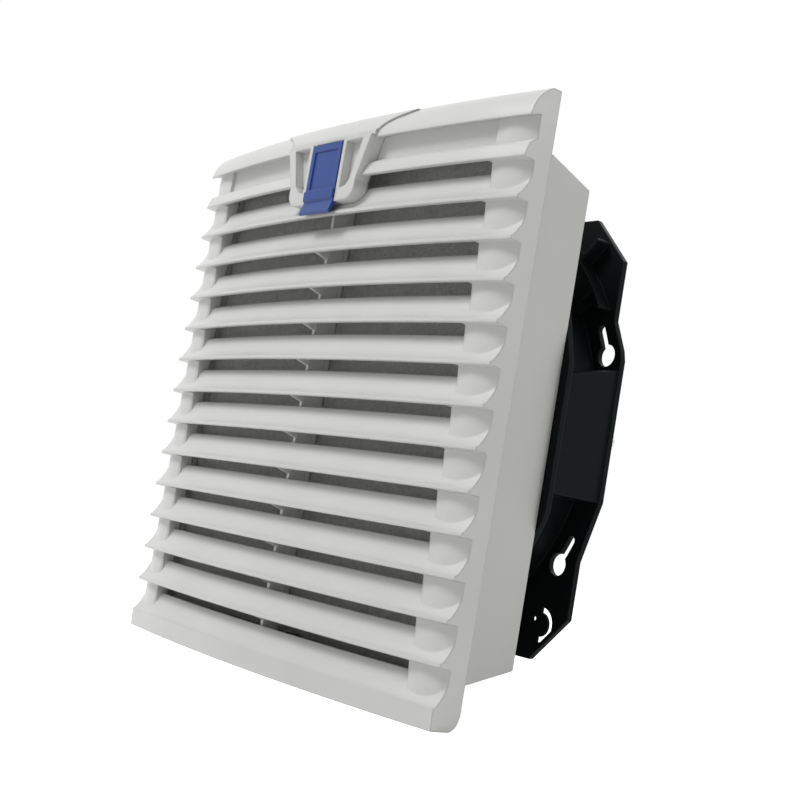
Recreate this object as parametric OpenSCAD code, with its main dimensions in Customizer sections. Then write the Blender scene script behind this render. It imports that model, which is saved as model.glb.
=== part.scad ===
// Cabinet filter fan: louvred front that hinges down, wall tub with a filter mat,
// and a reversible axial fan held on the back of the tub by a quarter-turn fit.
// Origin on the cabinet panel's outer face, in the middle of the front.
// +X right, +Y into the cabinet, +Z up. Millimetres.

/* [Front grille] */
// Side of the square front
front_w = 255; // [245:1:275]
// Depth of the louvre tips in front of the panel, at the two sides
tip_d = 13.9; // [12:0.1:16]
// How far the louvres bow forward in the middle
bow = 8.7; // [6:0.1:11]
// Number of louvres between the top bar and the bottom bar
slat_count = 13; // [11:1:14]
// Height of the rounded top bar
top_bar_h = 13; // [11:0.5:15]
// Height of the flat strip under the bottom bar's edge
bottom_bar_h = 8; // [7:0.5:9]
// Clear height of the air gap between two louvres
gap_h = 5.7; // [4:0.1:7]
// Width of the closed webs at the ends of the air gaps
web_w = 20.5; // [17:0.5:24]
// Wall thickness of the grille moulding
grille_wall = 2.2; // [1.8:0.1:2.6]
// Thickness of the edge under each louvre tip
lip_t = 0.8; // [0.5:0.1:1.2]
// Thickness of the rib behind the middle of the louvres
rib_t = 3; // [2:0.5:5]

/* [Handle and latch] */
// Width of the handle at its top
handle_w = 70; // [64:1:80]
// Width of the handle's straight lower edge
handle_foot_w = 40; // [36:1:44]
// Height of the handle, from its lower edge to the top bar's edge
handle_h = 28.7; // [27:0.1:31]
// How far the handle's face stands in front of the louvre tips
handle_proud = 1.6; // [1:0.1:3]
// Width of the latch tab
tab_w = 24; // [20:0.5:26]
// Thickness of the latch tab
tab_t = 2.5; // [2:0.1:3]
// Radius of the latch pivot pin
latch_pin_r = 1.2; // [1:0.1:1.5]

/* [Hinge] */
// Height of the hinge axis above the front's lower edge
hinge_up = 6; // [5.8:0.1:6.5]
// Radius of the two hinge pins
hinge_pin_r = 2; // [1.5:0.1:2.3]
// Distance of each hinge from the middle
hinge_x = 92; // [60:1:98]

/* [Wall tub] */
// How far the front laps over the panel's cut-out on each side
front_lap = 15.5; // [14.5:0.5:18]
// Depth of the straight collar behind the panel
collar_len = 16; // [14:0.5:20]
// How far each side of the tub draws in from the cut-out to its back
tub_draw = 8.2; // [6:0.2:10]
// Depth of the tub behind the panel
tub_depth = 45.2; // [40:0.2:55]
// Wall thickness of the tub
tub_wall = 2.5; // [2:0.1:3]
// How far the tub's middle lies below the front's middle
tub_drop = 1.5; // [0:0.1:2]
// Thickness of the flange on the panel
flange_t = 3; // [2.5:0.1:3.4]
// Thickness of the foam gasket
gasket_t = 2; // [1.5:0.1:2.5]
// Thickness of the filter mat
mat_t = 16; // [12:0.5:17]
// Largest panel thickness that the clips hold
panel_t = 2.5; // [1.5:0.1:3]

/* [Fan frame] */
// How far the fan's flanges lie inside the back of the tub on each side
fan_inset = 3.5; // [2:0.1:6]
// How far the middle of each flange side bulges out
fan_bulge = 7.9; // [6:0.1:8]
// Size of the flange's corner chamfers
fan_chamfer = 20.3; // [15:0.1:23]
// Depth of the fan frame over both flanges
fan_depth = 32.5; // [31:0.1:38]
// Thickness of the flanges
fan_flange_t = 2.5; // [2:0.1:3]
// Distance from the side of a flange to the bore of the air tube
tube_inset = 6.8; // [6.4:0.1:8]
// Wall thickness of the air tube
tube_wall = 3.5; // [3:0.1:4]
// How far the circle of keyholes lies outside the side of a flange
key_out = 5.2; // [4.5:0.1:5.7]
// Angle that the fan turns between locked and free
key_turn = 7; // [6.5:0.1:7.5]

/* [Motor and impeller] */
// Number of blades
blade_count = 7; // [5:1:9]
// Gap between the blade tips and the air tube
tip_gap = 2.3; // [1.5:0.1:4]
// Outer radius of the rotor bell
bell_r = 40; // [36:0.5:43]
// Radius of the motor shaft
shaft_r = 4; // [3:0.1:5]
// Thickness of the blades
blade_t = 2; // [1.5:0.1:2.5]

/* [Guard and terminals] */
// Number of rings of the finger guard
ring_count = 5; // [4:1:5]
// Wire radius of the guard rings
wire_r = 1.3; // [1:0.1:1.4]
// Radius of the cable hole in the terminal box
cable_r = 3.2; // [2.5:0.1:3.3]

/* [Hidden] */
$fn = 96;

// Play between pieces of one body, and between bodies that move past each other
seat = 0.15;
clear = 0.4;
run = 0.05;
press = 0.02;
eps = 0.01;

// Front
half = front_w / 2;
pitch = (front_w - top_bar_h - bottom_bar_h) / (slat_count + 1);
slope_h = pitch - gap_h - 1.3;
bow_r = (half * half + bow * bow) / (2 * bow);
bow_y = bow_r - tip_d - bow;
bow_span = asin(half / bow_r) + 0.6;
recess_d = tip_d - 5.6;
cheek_d = recess_d - grille_wall;
gap_half = half - web_w;
slat_lean = 5.6 / slope_h;

function tip_z(i) = half - top_bar_h - i * pitch;
// A point of a louvre profile: depth at the grille's sides, and height
function at(d, z) = [bow_r - tip_d + d, z];
// Depth in front of the panel of a profile point seen at the middle or at some x
function bow_at(x) = sqrt(bow_r * bow_r - x * x) - (bow_r - bow);

// Rounded top bar: one arc from the flat top to the bar's edge
bar_top_d = 4.5;
bar_sag = 1.8;
bar_chord = norm([tip_d - bar_top_d, top_bar_h]);
bar_r = (bar_chord * bar_chord / 4 + bar_sag * bar_sag) / (2 * bar_sag);
bar_lean = atan2(top_bar_h, tip_d - bar_top_d);
bar_d = (tip_d + bar_top_d) / 2 - (bar_r - bar_sag) * sin(bar_lean);
bar_z = half - top_bar_h / 2 - (bar_r - bar_sag) * cos(bar_lean);
bar_a0 = atan2(half - bar_z, bar_top_d - bar_d);
bar_a1 = atan2(tip_z(0) - bar_z, tip_d - bar_d);
bar_steps = 8;
function bar_arc(grow) = [for (i = [0:bar_steps])
    let (a = bar_a0 + (bar_a1 - bar_a0) * i / bar_steps)
    at(bar_d + (bar_r + grow) * cos(a), bar_z + (bar_r + grow) * sin(a))];
function backwards(list) = [for (i = [len(list) - 1:-1:0]) list[i]];

// Handle and latch
handle_y = -(tip_d + bow + handle_proud);
handle_back = -(recess_d + bow - 0.2);
handle_z0 = tip_z(0) - handle_h;
handle_z1 = tip_z(0) + 3;
handle_round = 7;
rail_t = 2.7;
slot_x = tab_w / 2 + clear;
slot_z = tip_z(0) + 0.7;
saddle_t = 2;
saddle_proud = 0.8;
tab_y = handle_y - 0.4;
tab_z0 = handle_z0 + 2;
tab_z1 = slot_z - 1.3;
pivot_y = tab_y + 4.9;
pivot_z = tab_z1 - 4.4;
knuckle_r = latch_pin_r + 1.4;
pin_half = slot_x + rail_t - 0.8;
arm_x = 4;
arm_z = [pivot_z - 4, pivot_z - 1.5];
arm_end = -7.5;
nose_h = 1.5;

// Hinge
hinge_y = -6.5;
hinge_z = -half + hinge_up;
hinge_round = hinge_up + 0.2;
knuckle_w = 8;
ear_w = 4.6;
ear_r = hinge_up - grille_wall - clear;

// Tub
flange_y = -gasket_t;
flange_half = half - front_lap / 2 + 0.25;
flange_foot = -half + 11.5;
cutout_half = half - front_lap;
collar_half = cutout_half - 0.5;
clip_reach = cutout_half + 3.5;
tub_front_half = collar_half - 1.2;
tub_rear_half = cutout_half - tub_draw;
tub_round = 3;
fan_z = -tub_drop;
mat_y = collar_len - 3.2 - mat_t;
mat_play = 1.1;
mat_half = collar_half - tub_wall - mat_play;
grid_t = 2;
grid_h = 4;

// Fan frame
fan_half = tub_rear_half - fan_inset;
tube_r = fan_half - tube_inset;
tub_hole_r = tube_r + 1;
key_r = fan_half + key_out;
fan_y0 = tub_depth + 0.3;
fan_y1 = fan_y0 + fan_depth;
tube_out = tube_r + tube_wall;
// Heights on a flange side where its bulge begins, rounds, is full, leaves and ends
bulge_z = fan_half * [0.528, 0.394, 0.349, -0.276, -0.543];
side_wall_t = 2.6;
// Height of the side wall's slanted upper edge, at the front and at the back
side_top = fan_half * [0.23, 0.312];
side_foot = bulge_z[3];
rim_t = 1.6;
rim_h = 1.2;
rib_arc_r = fan_half + 10.9;
rib_arc = 28;
rib_spread = 8.7;
rib_t_fan = 1.4;
rib_h = 7;
shank_r = 1.6;
slot_r = shank_r + clear;
head_r = 4.3;
head_t = 2.5;
keyhole_r = head_r + 0.7;
// Angle of each keyhole's narrow end on the back flange, and its wide end one turn back
key_a = [27.7, 64.3];
tongue_at = fan_half * [0.8175, -0.8425];
tongue_r = 7;
tongue_w = 1.6;
foot_r = fan_half + 1.6;
screw_r = 2;
screw_grip = 5;
screw_head_t = 2.2;

// Motor
hub_y0 = fan_y0 + 2.5;
hub_y1 = hub_y0 + 21;
bell_y0 = hub_y0 - 1.5;
bell_t = 1.9;
bell_y1 = bell_y0 + 24;
base_y0 = bell_y1 + 1.5;
base_y1 = fan_y1 + 0.6;
base_r = bell_r + 6;
bearing_out = shaft_r + 4.5;
post_r = bearing_out + 3;
bearing_w = 6;
post_y0 = bell_y0 + 5;
core_y0 = post_y0 + 3.5;
core_y1 = base_y0 - 5.5;
cage_t = 4;
cage_in = bell_r - bell_t - cage_t;
air_gap = 0.6;
core_r = cage_in - air_gap;
pole_count = 12;
yoke_t = 5;
pole_tip = 3;
hank_w = 4.8;
hank_play = 0.2;
mouth_w = 1.8;
coil_t = 3;
hub_t = 2.5;
hub_fit = 0.08;
hub_r = bell_r + hub_t;
tip_r = tube_r - tip_gap;

// Guard and terminals
plate_t = 1.8;
bar_wire_r = 1.6;
ring_y = fan_y1 + 0.8;
bar_y = fan_y1 + 3;
foot_t = 1.6;
box_gap = 12.5;
box_w = 14;
box_r0 = tube_out + box_gap;
box_r1 = box_r0 + box_w;
box_half = 15;
box_h = 14;
box_wall = 2;
box_floor = 1.5;
cover_t = 1.8;
cover_screw_r = 1.25;
cover_screw_at = [box_r0 + box_w / 2, -box_half + 5];
gland_at = [box_r0 + box_w / 2, fan_y1 + 8.2];
gland_len = 6;
lead_r = 1.5;
lead_bend = 3;
lead_off = 6;
lead_y = base_y1 + plate_t + lead_r + 0.1;
lead_r0 = bell_r - 4;

// A flat outline in X and Z, given depth from y0 to y1
module slab(y0, y1) translate([0, y1, 0]) rotate([90, 0, 0]) linear_extrude(y1 - y0) children();
// A profile of radius and depth, turned about the Y axis
module turned() rotate([-90, 0, 0]) rotate_extrude() children();
// A rod along Y
module rod(r, y0, y1) translate([0, y0, 0]) rotate([-90, 0, 0]) cylinder(r = r, h = y1 - y0);
// A rod along X
module cross_rod(r, x0, x1) translate([x0, 0, 0]) rotate([0, 90, 0]) cylinder(r = r, h = x1 - x0);
// A block given by its lowest and highest corner
module block(a, b) translate(a) cube(b - a);
module both_sides() { children(); mirror([1, 0, 0]) children(); }
// A flat outline in Y and Z, given width from x0 to x1
module along_x(x0, x1) translate([x0, 0, 0]) rotate([90, 0, 90]) linear_extrude(x1 - x0) children();
// Four or two copies about the fan's axis
module four_ways() for (a = [0:90:270]) rotate([0, a, 0]) children();
module two_ways() for (a = [0, 180]) rotate([0, a, 0]) children();
module on_fan_axis() translate([0, 0, fan_z]) children();
// A louvre profile swept round the bowed front
module bowed() intersection() {
    translate([0, bow_y, 0]) rotate([0, 0, -90 - bow_span])
        rotate_extrude(angle = 2 * bow_span, $fn = 360) children();
    block([-half, -half, -front_w], [half, 0, front_w]);
}

// Front grille

function slat_profile(z) = [
    at(tip_d, z), at(tip_d, z - lip_t),
    at(tip_d - grille_wall, z - lip_t),
    at(tip_d - grille_wall - (slope_h + 2) * slat_lean + 0.4, z + slope_h + 1.4),
    at(tip_d - (slope_h + 2) * slat_lean, z + slope_h + 2),
    at(tip_d - slope_h / 2 * slat_lean + 0.2, z + slope_h / 2)];

// The first louvre joins the top bar, with no air gap between them
function first_slat_profile(z, bar) = [
    at(tip_d, z), at(tip_d, z - lip_t), at(tip_d - grille_wall, z - lip_t),
    at(cheek_d, z + 4), at(cheek_d, bar), at(recess_d + 0.4, bar),
    at(recess_d + 0.4, z + 7.4), at(recess_d + 1.6, z + 6.8), at(tip_d - 1.9, z + 5.3),
    at(tip_d - 0.8, z + 2.8)];

function top_bar_profile() = concat(
    [at(-bow - 1, half)], bar_arc(0),
    [at(tip_d, tip_z(0) - lip_t), at(recess_d, tip_z(0) - 1.3), at(cheek_d, tip_z(0) - 1.3)],
    [at(cheek_d, tip_z(0) + 2)],
    backwards([for (p = bar_arc(-grille_wall)) if (p[1] > tip_z(0) + 4) p]),
    [at(-bow - 1, half - grille_wall)]);

function bottom_bar_profile(z) = [
    at(tip_d, z), at(tip_d - 0.3, -half), at(-bow - 1, -half), at(-bow - 1, -half + grille_wall),
    at(tip_d - grille_wall - 0.3, -half + grille_wall), at(tip_d - grille_wall - 0.2, z - 1),
    at(tip_d - grille_wall - (slope_h + 2) * slat_lean + 0.4, z + slope_h + 1.4),
    at(tip_d - (slope_h + 2) * slat_lean, z + slope_h + 2),
    at(tip_d - slope_h / 2 * slat_lean + 0.3, z + slope_h / 2)];

// Scalloped front edge at the grille's sides, from the depth of its back to its front
function cheek_profile(back, top) = concat(
    [at(back, top)],
    [for (p = bar_arc(0)) if (p[1] < top + eps) p],
    [for (i = [0:slat_count]) each [
        at(tip_d, tip_z(i) - lip_t),
        at(recess_d, tip_z(i) - 1.3),
        at(recess_d, tip_z(i) - 1.3 - gap_h * (i == 0 ? 1.4 : 1)),
        at(tip_d - slope_h / 2 * slat_lean + 0.3, tip_z(i + 1) + slope_h / 2),
        at(tip_d, tip_z(i + 1))]],
    [at(tip_d - 0.3, -half), at(back, -half)]);

// Plan of the rounded web at the end of the air gaps
web_round = 29;
web_d = recess_d + 4.5;
web_flat = 15.5;
module web_plan() intersection() {
    translate([gap_half, -web_d]) square([web_w, web_d - cheek_d - 0.3]);
    union() {
        translate([half - web_flat, web_round - web_d]) circle(r = web_round, $fn = 200);
        translate([gap_half, -web_d]) square([web_w - web_flat, web_d]);
    }
}

// What is cut away to round the lower back edge, which turns past the panel
module round_back_edge() difference() {
    block([-half - 1, hinge_y, -half - 1], [half + 1, 1, hinge_z]);
    translate([0, hinge_y, hinge_z]) cross_rod(hinge_round, -half - 2, half + 2);
}

module grille_sides() both_sides() intersection() {
    bowed() polygon(cheek_profile(-bow - 1, half));
    block([half - grille_wall, -half, -front_w], [half + 1, 1, front_w]);
}

module grille_hinges() both_sides() translate([hinge_x - knuckle_w / 2, 0, 0]) {
    translate([0, hinge_y, hinge_z]) cross_rod(hinge_pin_r + 2, 0, knuckle_w);
    block([0, hinge_y - hinge_pin_r - 2, -half + 1], [knuckle_w, hinge_y, hinge_z]);
}

module louvres() {
    bowed() polygon(top_bar_profile());
    bowed() polygon(first_slat_profile(tip_z(1), tip_z(0) - 0.5));
    for (i = [2:slat_count]) bowed() polygon(slat_profile(tip_z(i)));
    bowed() polygon(bottom_bar_profile(tip_z(slat_count + 1)));
}

module end_cheeks() both_sides() intersection() {
    bowed() polygon(cheek_profile(cheek_d, half - 1));
    block([gap_half, -half, -front_w], [half + 1, 1, front_w]);
}

module louvre_grille() color([0.85, 0.86, 0.85]) difference() {
    union() {
        louvres();
        end_cheeks();
        both_sides() translate([0, 0, tip_z(slat_count + 1)])
            linear_extrude(tip_z(0) - tip_z(slat_count + 1)) web_plan();
        block([-rib_t / 2, -tip_d - 0.8, tip_z(slat_count + 1)], [rib_t / 2, -cheek_d, tip_z(1)]);
        grille_sides();
        grille_hinges();
    }
    round_back_edge();
    handle_space();
    translate([0, hinge_y, hinge_z]) cross_rod(hinge_pin_r + run, -half + 5, half - 5);
}

// Handle, a separate moulding let into the top bar

// Outline of the handle, in front view; grow widens it for the space it sits in
module handle_outline(grow) {
    foot = handle_foot_w / 2;
    translate([0, handle_z0 + handle_round]) both_flat() translate([foot, 0])
        circle(r = handle_round + grow);
    polygon(mirrored([[foot, handle_z0 - grow],
        [foot + handle_round * 0.97 + grow, handle_z0 + handle_round * 1.24],
        [handle_w / 2 + grow, handle_z1 + grow]]));
}
module both_flat() { children(); mirror([1, 0]) children(); }
function mirrored(right) = concat(right, backwards([for (p = right) [-p[0], p[1]]]));

module handle_windows() both_flat() polygon([
    [slot_x + rail_t, slot_z - 1.5], [handle_w / 2 - 7.2, slot_z - 1.5],
    [handle_foot_w / 2 + 2.3, handle_z0 + 10],
    [handle_foot_w / 2 - 0.4, handle_z0 + 7], [slot_x + rail_t, handle_z0 + 6]]);

// Blind windows, deeper below the first louvre's edge than above it
module window_pockets() {
    slab(-half, handle_back - 3.4) handle_windows();
    slab(-half, handle_back - 1.4) intersection() {
        handle_windows();
        translate([-half, handle_z0]) square([front_w, tip_z(1) - lip_t - handle_z0]);
    }
}

// The part of the top bar that the handle's saddle covers
module saddle_outline(grow) polygon(mirrored([
    [handle_w / 2 + grow, tip_z(0)], [handle_w / 2 + grow, handle_z1],
    [handle_w / 2 + 2.6 + grow, handle_z1 + 2.6], [handle_w / 2 + 7 + grow, handle_z1 + 5],
    [handle_w / 2 + 13 + grow, half - 3], [handle_w / 2 + 17 + grow, half - 0.8]]));

module saddle(inner, outer, grow) intersection() {
    bowed() polygon(concat(bar_arc(outer), backwards(bar_arc(inner))));
    slab(-half, 0) saddle_outline(grow);
}

module handle_space() {
    saddle(-saddle_t + saddle_proud - seat, saddle_proud + 3, seat);
    slab(-half, handle_back + seat) handle_outline(seat);
    block([-arm_x - 1.5, -half, arm_z[0] - 4],
        [arm_x + 1.5, -recess_d + 1, arm_z[1] + nose_h + clear]);
}

module handle_frame() color([0.86, 0.87, 0.86]) difference() {
    union() {
        saddle(-saddle_t + saddle_proud, saddle_proud, 0);
        slab(handle_y, handle_back) handle_outline(0);
    }
    window_pockets();
    block([-half, -half, handle_z1 - 2.5], [half, handle_y + 1.5, half]);
    block([-slot_x, -half, handle_z0 - 1], [slot_x, handle_back - 2, slot_z]);
    block([-slot_x, -half, arm_z[0] - 5], [slot_x, 0, slot_z]);
    translate([0, pivot_y, pivot_z]) cross_rod(latch_pin_r + press, -pin_half, pin_half);
}

module latch_pin() color([0.6, 0.61, 0.62]) translate([0, pivot_y, pivot_z])
    cross_rod(latch_pin_r, -pin_half, pin_half);

// Latch tab: a lever with a sunk face, a finger lip below and a hook behind

module tab_lip() along_x(-tab_w / 2, tab_w / 2) polygon([
    [tab_y - 0.8, tab_z0 + 4], [tab_y - 0.8, tab_z0], [tab_y + 0.2, tab_z0 - 1],
    [tab_y - 1.6, tab_z0 - 6.6], [tab_y - 0.8, tab_z0 - 7.4], [tab_y + 1.2, tab_z0 - 4],
    [tab_y + tab_t, tab_z0 - 1], [tab_y + tab_t, tab_z0 + 4]]);

module tab_arm() along_x(-arm_x, arm_x) polygon([
    [tab_y + 1, arm_z[0]], [arm_end, arm_z[0]], [arm_end, arm_z[1] + nose_h - 0.6],
    [arm_end - 1.2, arm_z[1] + nose_h], [arm_end - 2.2, arm_z[1] + nose_h],
    [arm_end - 2.2, arm_z[1]], [tab_y + 1, arm_z[1]]]);

module latch_tab() color([0.13, 0.25, 0.62]) difference() {
    union() {
        block([-tab_w / 2, tab_y, tab_z0], [tab_w / 2, tab_y + tab_t, tab_z1]);
        tab_lip();
        tab_arm();
        block([-tab_w / 2 + 1, tab_y + 1, pivot_z - knuckle_r],
            [tab_w / 2 - 1, pivot_y, pivot_z + knuckle_r]);
        translate([0, pivot_y, pivot_z]) cross_rod(knuckle_r, -tab_w / 2 + 1, tab_w / 2 - 1);
    }
    block([-tab_w / 2 + 2.6, tab_y - 1, tab_z0 + 5], [tab_w / 2 - 2.6, tab_y + 0.6, tab_z1 - 3]);
    translate([0, pivot_y, pivot_z]) cross_rod(latch_pin_r + run, -half, half);
}

// Wall tub

module square_plan(half_side) translate([-half_side, -half_side]) square(2 * half_side);
module round_plan(half_side) offset(r = tub_round, $fn = 32) square_plan(half_side - tub_round);
module taper(y0, half0, y1, half1) hull() {
    slab(y0, y0 + eps) round_plan(half0);
    slab(y1 - eps, y1) round_plan(half1);
}

module tub_shell() on_fan_axis() difference() {
    union() {
        slab(flange_y - flange_t, collar_len) round_plan(collar_half);
        taper(collar_len - 0.5, tub_front_half, tub_depth, tub_rear_half);
    }
    slab(flange_y - flange_t - 1, collar_len) round_plan(collar_half - tub_wall);
    taper(collar_len - 1, tub_front_half - tub_wall, tub_depth - tub_wall, tub_rear_half - tub_wall);
    rod(tub_hole_r, tub_depth - tub_wall - 1, tub_depth + 1);
}

module tub_flange() slab(flange_y - flange_t, flange_y) difference() {
    translate([-flange_half, flange_foot]) square([2 * flange_half, flange_half - flange_foot]);
    translate([0, fan_z]) square_plan(collar_half - tub_wall);
}

// Ribs across the tub that carry the mat
module mat_grid() on_fan_axis() for (k = [-1, 0, 1]) {
    reach = tub_front_half - 1;
    x = k * mat_half / 2;
    block([x - grid_t / 2, mat_y + mat_t, -reach], [x + grid_t / 2, mat_y + mat_t + grid_h, reach]);
    block([-reach, mat_y + mat_t, x - grid_t / 2], [reach, mat_y + mat_t + grid_h, x + grid_t / 2]);
}

// Headed studs that the fan's keyholes lock on
module tub_studs() on_fan_axis() four_ways() rotate([0, key_a[1] - 180, 0]) translate([key_r, 0, 0]) {
    rod(shank_r, tub_depth - 1, fan_y0 + fan_flange_t + 1);
    rod(head_r, fan_y0 + fan_flange_t + 0.4, fan_y0 + fan_flange_t + 0.4 + head_t);
}

module tub_ears() both_sides() for (s = [-1, 1])
    translate([hinge_x + s * (knuckle_w + ear_w + 2 * clear) / 2 - ear_w / 2, 0, 0]) {
        translate([0, hinge_y, hinge_z]) cross_rod(ear_r, 0, ear_w);
        block([0, hinge_y - ear_r, hinge_z], [ear_w, hinge_y + ear_r, flange_foot + 2]);
    }

// Catch that the latch's hook reaches under
keeper_z = arm_z[1] + nose_h + clear;
module tub_keeper() {
    block([-arm_x - 3, arm_end - 5, keeper_z], [arm_x + 3, flange_y - 1, keeper_z + 2]);
    both_sides() block([arm_x + 1, arm_end - 5, keeper_z], [arm_x + 3, flange_y - 1, keeper_z + 4]);
}

module housing_tub() color([0.83, 0.84, 0.83]) difference() {
    union() {
        tub_shell();
        tub_flange();
        mat_grid();
        tub_studs();
        tub_ears();
        tub_keeper();
    }
    translate([0, hinge_y, hinge_z]) cross_rod(hinge_pin_r + press, -half + 5, half - 5);
    for (z = clip_z) both_sides() clip_seat(z, clip_play);
}

module panel_gasket() color([0.2, 0.2, 0.21]) slab(flange_y, 0) difference() {
    translate([-flange_half, flange_foot]) square([2 * flange_half, flange_half - flange_foot]);
    translate([-clip_reach - 0.5, fan_z - collar_half - 0.5])
        square([2 * clip_reach + 1, 2 * collar_half + 1]);
}

// Spring clips that hold the panel's edge, let into the sides of the collar
clip_w = 14;
clip_t = 0.8;
clip_len = 9;
clip_play = 0.05;
clip_z = [for (s = [-0.556, 0.556]) s * collar_half + fan_z];
module clip_seat(z, play) block([collar_half - clip_t, panel_t, z - clip_w / 2 - play],
    [collar_half + 1, panel_t + clip_len + play, z + clip_w / 2 + play]);
module panel_clips() color([0.62, 0.63, 0.65]) for (z = clip_z) both_sides()
    translate([0, 0, z - clip_w / 2]) linear_extrude(clip_w) polygon([
        [collar_half - clip_t, panel_t], [clip_reach, panel_t], [clip_reach, panel_t + clip_t],
        [collar_half + clip_t, panel_t + clip_len - 1], [collar_half, panel_t + clip_len],
        [collar_half - clip_t, panel_t + clip_len]]);

module filter_mat() color([0.55, 0.56, 0.55]) on_fan_axis()
    slab(mat_y, mat_y + mat_t) square_plan(mat_half);

module hinge_pins() color([0.6, 0.61, 0.62]) both_sides() translate([hinge_x, hinge_y, hinge_z])
    cross_rod(hinge_pin_r, -knuckle_w / 2 - ear_w, knuckle_w / 2 + ear_w);

// Fan frame

// Outline of a fan flange: chamfered square whose sides bulge, the same on each side
function flange_side() = [
    [fan_half, fan_half - fan_chamfer], [fan_half, bulge_z[0]],
    [fan_half + fan_bulge * 0.85, bulge_z[1]], [fan_half + fan_bulge, bulge_z[2]],
    [fan_half + fan_bulge, bulge_z[3]], [fan_half, bulge_z[4]],
    [fan_half, fan_chamfer - fan_half]];
function quarter_turn(p, k) = k == 0 ? p : quarter_turn([p[1], -p[0]], k - 1);
module flange_outline() polygon([for (k = [0:3]) for (p = flange_side()) quarter_turn(p, k)]);

// Keyhole with its narrow end at angle a and its wide end one turn back
module keyhole(a, y0, y1) {
    for (q = [0:90:270]) rotate([0, -a - q, 0]) {
        translate([key_r, 0, 0]) rod(slot_r, y0, y1);
        rotate([0, key_turn, 0]) translate([key_r, 0, 0]) rod(keyhole_r, y0, y1);
        rotate([-90, 0, 0]) rotate_extrude(angle = key_turn, $fn = 360)
            translate([key_r - slot_r, y0]) square([2 * slot_r, y1 - y0]);
    }
}

// Sprung tongue in each corner, cut free by a round slot
module tongue_slots(y0, y1) two_ways() translate([tongue_at[0], 0, tongue_at[1]]) {
    rotate([-90, 0, 0]) rotate([0, 0, -86]) rotate_extrude(angle = 176)
        translate([tongue_r - tongue_w, y0]) square([tongue_w, y1 - y0]);
    translate([-3.8, 0, 2.2]) rod(1, y0, y1);
}

module back_flange() difference() {
    union() {
        slab(fan_y1 - fan_flange_t, fan_y1) flange_outline();
        slab(fan_y1 - fan_flange_t - rim_h, fan_y1) difference() {
            flange_outline();
            scale(1 - rim_t / fan_half) flange_outline();
        }
    }
    for (a = key_a) keyhole(a, fan_y1 - 2 * fan_flange_t, fan_y1 + 1);
    tongue_slots(fan_y1 - 2 * fan_flange_t, fan_y1 + 1);
}

module front_flange() mirror([1, 0, 0]) difference() {
    slab(fan_y0, fan_y0 + fan_flange_t) flange_outline();
    for (a = key_a) keyhole(a, fan_y0 - 1, fan_y0 + 2 * fan_flange_t);
    tongue_slots(fan_y0 - 1, fan_y0 + 2 * fan_flange_t);
}

// Closed wall between the flanges at the middle of each side, with a slanted upper edge
module side_box() four_ways() {
    x1 = fan_half + fan_bulge - 1;
    y = [fan_y0 + 1, fan_y1 - 1];
    along_x(x1 - side_wall_t, x1)
        polygon([[y[0], side_foot], [y[1], side_foot], [y[1], side_top[1]], [y[0], side_top[0]]]);
    along_x(tube_r - 2, x1) polygon([
        [y[0], side_top[0] - side_wall_t], [y[1], side_top[1] - side_wall_t],
        [y[1], side_top[1]], [y[0], side_top[0]]]);
    block([tube_r - 2, y[0], side_foot], [x1, y[1], side_foot + side_wall_t]);
}

// Arc and radial ribs that stiffen two corners of the back flange
module corner_ribs() two_ways() {
    y0 = fan_y1 - fan_flange_t - rib_h;
    rotate([0, -45, 0]) {
        rotate([-90, 0, 0]) rotate([0, 0, -rib_arc / 2]) rotate_extrude(angle = rib_arc)
            translate([rib_arc_r, y0]) square([rib_t_fan, rib_h + 1]);
        for (a = [-rib_spread, rib_spread]) rotate([0, a, 0])
            block([tube_out - 1, y0, -rib_t_fan / 2], [rib_arc_r + 1, fan_y1 - 1, rib_t_fan / 2]);
        block([rib_arc_r, y0, -rib_t_fan / 2], [rib_arc_r + 15, fan_y1 - 1, rib_t_fan / 2]);
    }
}

// Bosses for the guard's screws, behind the side walls
boss_r = screw_r + 2.2;
module guard_bosses() four_ways() translate([foot_r, 0, 0])
    rod(boss_r, fan_y1 - fan_flange_t - rib_h, fan_y1 - 1);

module fan_frame() color([0.13, 0.14, 0.15]) on_fan_axis() difference() {
    union() {
        back_flange();
        front_flange();
        rod(tube_out, fan_y0, fan_y1);
        side_box();
        corner_ribs();
        guard_bosses();
    }
    rod(tube_r, fan_y0 - 1, fan_y1 + 1);
    four_ways() translate([foot_r, 0, 0]) rod(screw_r + press, fan_y1 - rib_h, fan_y1 + 1);
}

// Finger guard of welded wire, which carries the motor
ring_r0 = base_r + 5;
ring_step = (tube_r - 4 - ring_r0) / (ring_count - 1);
motor_screw_r = 26;
module guard_arm() {
    translate([0, bar_y, 0]) cross_rod(bar_wire_r, base_r - 6, foot_r - boss_r - 0.4);
    difference() {
        union() {
            translate([foot_r, 0, 0]) rod(boss_r, fan_y1, fan_y1 + foot_t);
            block([foot_r - boss_r - 2, fan_y1, -2], [foot_r, fan_y1 + foot_t, 2]);
        }
        translate([foot_r, 0, 0]) rod(screw_r + 0.3, fan_y1 - 1, fan_y1 + 2 * foot_t);
    }
}
module finger_guard() color([0.2, 0.2, 0.21]) on_fan_axis() difference() {
    union() {
        for (k = [0:ring_count - 1]) turned() translate([ring_r0 + k * ring_step, ring_y])
            circle(r = wire_r, $fn = 24);
        rod(base_r, base_y1, base_y1 + plate_t);
        four_ways() guard_arm();
    }
    four_ways() translate([motor_screw_r, 0, 0]) {
        rod(screw_r + 0.2, base_y1 - 1, base_y1 + 9);
        rod(screw_r + 2, base_y1 + plate_t, base_y1 + 9);
    }
    lead_place() {
        translate([lead_r0, 0, 0]) rod(lead_r + clear, base_y1 - 1, base_y1 + 9);
        block([lead_r0, base_y1 - 1, -lead_r - clear],
            [lead_r0 + lead_bend + lead_r, base_y1 + 9, lead_r + clear]);
    }
}

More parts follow.
